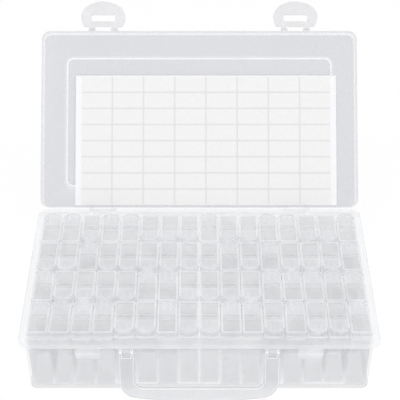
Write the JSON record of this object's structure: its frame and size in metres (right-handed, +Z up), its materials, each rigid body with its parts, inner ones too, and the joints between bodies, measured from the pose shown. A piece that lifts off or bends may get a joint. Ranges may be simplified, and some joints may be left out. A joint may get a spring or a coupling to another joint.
{
  "type": "diamond painting storage box",
  "caption": "Clear hinged case with two latches and a carry handle, filled with flip-top bead bottles and a blank label sheet.",
  "frame": {"origin": "centre of the flat underside of the case", "axes": "+X to the right seen from the front, +Y to the back where the lid is hinged, +Z up; the handle and the catches are on the -Y side"},
  "size_m": [0.2306, 0.2585, 0.1519],
  "materials": {
    "case_plastic": "clear moulded polypropylene",
    "lid_plastic": "clear moulded polypropylene",
    "latch_plastic": "clear moulded polypropylene",
    "handle_plastic": "clear moulded polypropylene",
    "bottle_plastic": "clear",
    "cap_plastic": "clear",
    "flip_plastic": "clear",
    "backing_paper": "smooth",
    "label_paper": "smooth"
  },
  "bodies": {
    "base": {"case_base": "case_plastic"},
    "lid": {"case_lid": "lid_plastic"},
    "left_latch": {"latch_left": "latch_plastic"},
    "right_latch": {"latch_right": "latch_plastic"},
    "handle": {"carry_handle": "handle_plastic"},
    "label_sheet": {"label_backing": "backing_paper", "blank_labels": "label_paper"},
    "front_row_front_spout_bottles": {"front_row_front_spout_containers": "bottle_plastic", "front_row_front_spout_caps": "cap_plastic"},
    "front_row_front_spout_bottles_flips": {"front_row_front_spout_flip_lids": "flip_plastic"},
    "front_row_rear_spout_bottles": {"front_row_rear_spout_containers": "bottle_plastic", "front_row_rear_spout_caps": "cap_plastic"},
    "front_row_rear_spout_bottles_flips": {"front_row_rear_spout_flip_lids": "flip_plastic"},
    "second_row_front_spout_bottles": {"second_row_front_spout_containers": "bottle_plastic", "second_row_front_spout_caps": "cap_plastic"},
    "second_row_front_spout_bottles_flips": {"second_row_front_spout_flip_lids": "flip_plastic"},
    "second_row_rear_spout_bottles": {"second_row_rear_spout_containers": "bottle_plastic", "second_row_rear_spout_caps": "cap_plastic"},
    "second_row_rear_spout_bottles_flips": {"second_row_rear_spout_flip_lids": "flip_plastic"},
    "third_row_front_spout_bottles": {"third_row_front_spout_containers": "bottle_plastic", "third_row_front_spout_caps": "cap_plastic"},
    "third_row_front_spout_bottles_flips": {"third_row_front_spout_flip_lids": "flip_plastic"},
    "third_row_rear_spout_bottles": {"third_row_rear_spout_containers": "bottle_plastic", "third_row_rear_spout_caps": "cap_plastic"},
    "third_row_rear_spout_bottles_flips": {"third_row_rear_spout_flip_lids": "flip_plastic"},
    "back_row_front_spout_bottles": {"back_row_front_spout_containers": "bottle_plastic", "back_row_front_spout_caps": "cap_plastic"},
    "back_row_front_spout_bottles_flips": {"back_row_front_spout_flip_lids": "flip_plastic"},
    "back_row_rear_spout_bottles": {"back_row_rear_spout_containers": "bottle_plastic", "back_row_rear_spout_caps": "cap_plastic"},
    "back_row_rear_spout_bottles_flips": {"back_row_rear_spout_flip_lids": "flip_plastic"},
    "single_bottle_1": {"single_bottle_1_container": "bottle_plastic", "single_bottle_1_cap": "cap_plastic"},
    "single_bottle_1_flips": {"single_bottle_1_flip_lid": "flip_plastic"},
    "single_bottle_2": {"single_bottle_2_container": "bottle_plastic", "single_bottle_2_cap": "cap_plastic"},
    "single_bottle_2_flips": {"single_bottle_2_flip_lid": "flip_plastic"},
    "single_bottle_3": {"single_bottle_3_container": "bottle_plastic", "single_bottle_3_cap": "cap_plastic"},
    "single_bottle_3_flips": {"single_bottle_3_flip_lid": "flip_plastic"},
    "single_bottle_4": {"single_bottle_4_container": "bottle_plastic", "single_bottle_4_cap": "cap_plastic"},
    "single_bottle_4_flips": {"single_bottle_4_flip_lid": "flip_plastic"}
  },
  "joints": [
    {"name": "lid_hinge", "type": "hinge", "parent": "base", "child": "lid", "pos_m": [0, 0.0669, 0.046], "axis": [-1, 0, 0], "range_deg": [-135, 0]},
    {"name": "left_latch_hinge", "type": "hinge", "parent": "lid", "child": "left_latch", "pos_m": [-0.0705, 0.16505, 0.13679], "axis": [-1, 0, 0], "range_deg": [-90, 0]},
    {"name": "right_latch_hinge", "type": "hinge", "parent": "lid", "child": "right_latch", "pos_m": [0.0705, 0.16505, 0.13679], "axis": [-1, 0, 0], "range_deg": [-90, 0]},
    {"name": "handle_hinge", "type": "hinge", "parent": "base", "child": "handle", "pos_m": [0, -0.0635, 0.0415], "axis": [-1, 0, 0], "range_deg": [-24, 108]},
    {"name": "label_sheet_lift", "type": "slide", "parent": "lid", "child": "label_sheet", "axis": [0, -0.7071, 0.7071], "range_m": [0, 0.02]},
    {"name": "front_row_front_spout_bottles_lift", "type": "slide", "parent": "base", "child": "front_row_front_spout_bottles", "axis": [0, 0, 1], "range_m": [0, 0.055]},
    {"name": "front_row_front_spout_bottles_flip", "type": "hinge", "parent": "front_row_front_spout_bottles", "child": "front_row_front_spout_bottles_flips", "pos_m": [0, -0.04335, 0.0528], "axis": [-1, 0, 0], "range_deg": [0, 110]},
    {"name": "front_row_rear_spout_bottles_lift", "type": "slide", "parent": "base", "child": "front_row_rear_spout_bottles", "axis": [0, 0, 1], "range_m": [0, 0.055]},
    {"name": "front_row_rear_spout_bottles_flip", "type": "hinge", "parent": "front_row_rear_spout_bottles", "child": "front_row_rear_spout_bottles_flips", "pos_m": [0, -0.04485, 0.0528], "axis": [1, 0, 0], "range_deg": [0, 110]},
    {"name": "second_row_front_spout_bottles_lift", "type": "slide", "parent": "base", "child": "second_row_front_spout_bottles", "axis": [0, 0, 1], "range_m": [0, 0.055]},
    {"name": "second_row_front_spout_bottles_flip", "type": "hinge", "parent": "second_row_front_spout_bottles", "child": "second_row_front_spout_bottles_flips", "pos_m": [0, -0.01515, 0.0528], "axis": [-1, 0, 0], "range_deg": [0, 110]},
    {"name": "second_row_rear_spout_bottles_lift", "type": "slide", "parent": "base", "child": "second_row_rear_spout_bottles", "axis": [0, 0, 1], "range_m": [0, 0.055]},
    {"name": "second_row_rear_spout_bottles_flip", "type": "hinge", "parent": "second_row_rear_spout_bottles", "child": "second_row_rear_spout_bottles_flips", "pos_m": [0, -0.01665, 0.0528], "axis": [1, 0, 0], "range_deg": [0, 110]},
    {"name": "third_row_front_spout_bottles_lift", "type": "slide", "parent": "base", "child": "third_row_front_spout_bottles", "axis": [0, 0, 1], "range_m": [0, 0.055]},
    {"name": "third_row_front_spout_bottles_flip", "type": "hinge", "parent": "third_row_front_spout_bottles", "child": "third_row_front_spout_bottles_flips", "pos_m": [0, 0.01305, 0.0528], "axis": [-1, 0, 0], "range_deg": [0, 110]},
    {"name": "third_row_rear_spout_bottles_lift", "type": "slide", "parent": "base", "child": "third_row_rear_spout_bottles", "axis": [0, 0, 1], "range_m": [0, 0.055]},
    {"name": "third_row_rear_spout_bottles_flip", "type": "hinge", "parent": "third_row_rear_spout_bottles", "child": "third_row_rear_spout_bottles_flips", "pos_m": [0, 0.01155, 0.0528], "axis": [1, 0, 0], "range_deg": [0, 110]},
    {"name": "back_row_front_spout_bottles_lift", "type": "slide", "parent": "base", "child": "back_row_front_spout_bottles", "axis": [0, 0, 1], "range_m": [0, 0.055]},
    {"name": "back_row_front_spout_bottles_flip", "type": "hinge", "parent": "back_row_front_spout_bottles", "child": "back_row_front_spout_bottles_flips", "pos_m": [0, 0.04125, 0.0528], "axis": [-1, 0, 0], "range_deg": [0, 110]},
    {"name": "back_row_rear_spout_bottles_lift", "type": "slide", "parent": "base", "child": "back_row_rear_spout_bottles", "axis": [0, 0, 1], "range_m": [0, 0.055]},
    {"name": "back_row_rear_spout_bottles_flip", "type": "hinge", "parent": "back_row_rear_spout_bottles", "child": "back_row_rear_spout_bottles_flips", "pos_m": [0, 0.03975, 0.0528], "axis": [1, 0, 0], "range_deg": [0, 110]},
    {"name": "single_bottle_1_lift", "type": "slide", "parent": "base", "child": "single_bottle_1", "axis": [0, 0, 1], "range_m": [0, 0.055]},
    {"name": "single_bottle_1_flip", "type": "hinge", "parent": "single_bottle_1", "child": "single_bottle_1_flips", "pos_m": [0, -0.04335, 0.0528], "axis": [-1, 0, 0], "range_deg": [0, 110]},
    {"name": "single_bottle_2_lift", "type": "slide", "parent": "base", "child": "single_bottle_2", "axis": [0, 0, 1], "range_m": [0, 0.055]},
    {"name": "single_bottle_2_flip", "type": "hinge", "parent": "single_bottle_2", "child": "single_bottle_2_flips", "pos_m": [0, -0.04485, 0.0528], "axis": [1, 0, 0], "range_deg": [0, 110]},
    {"name": "single_bottle_3_lift", "type": "slide", "parent": "base", "child": "single_bottle_3", "axis": [0, 0, 1], "range_m": [0, 0.055]},
    {"name": "single_bottle_3_flip", "type": "hinge", "parent": "single_bottle_3", "child": "single_bottle_3_flips", "pos_m": [0, -0.01665, 0.0528], "axis": [1, 0, 0], "range_deg": [0, 110]},
    {"name": "single_bottle_4_lift", "type": "slide", "parent": "base", "child": "single_bottle_4", "axis": [0, 0, 1], "range_m": [0, 0.055]},
    {"name": "single_bottle_4_flip", "type": "hinge", "parent": "single_bottle_4", "child": "single_bottle_4_flips", "pos_m": [0, 0.01305, 0.0528], "axis": [-1, 0, 0], "range_deg": [0, 110]}
  ]
}
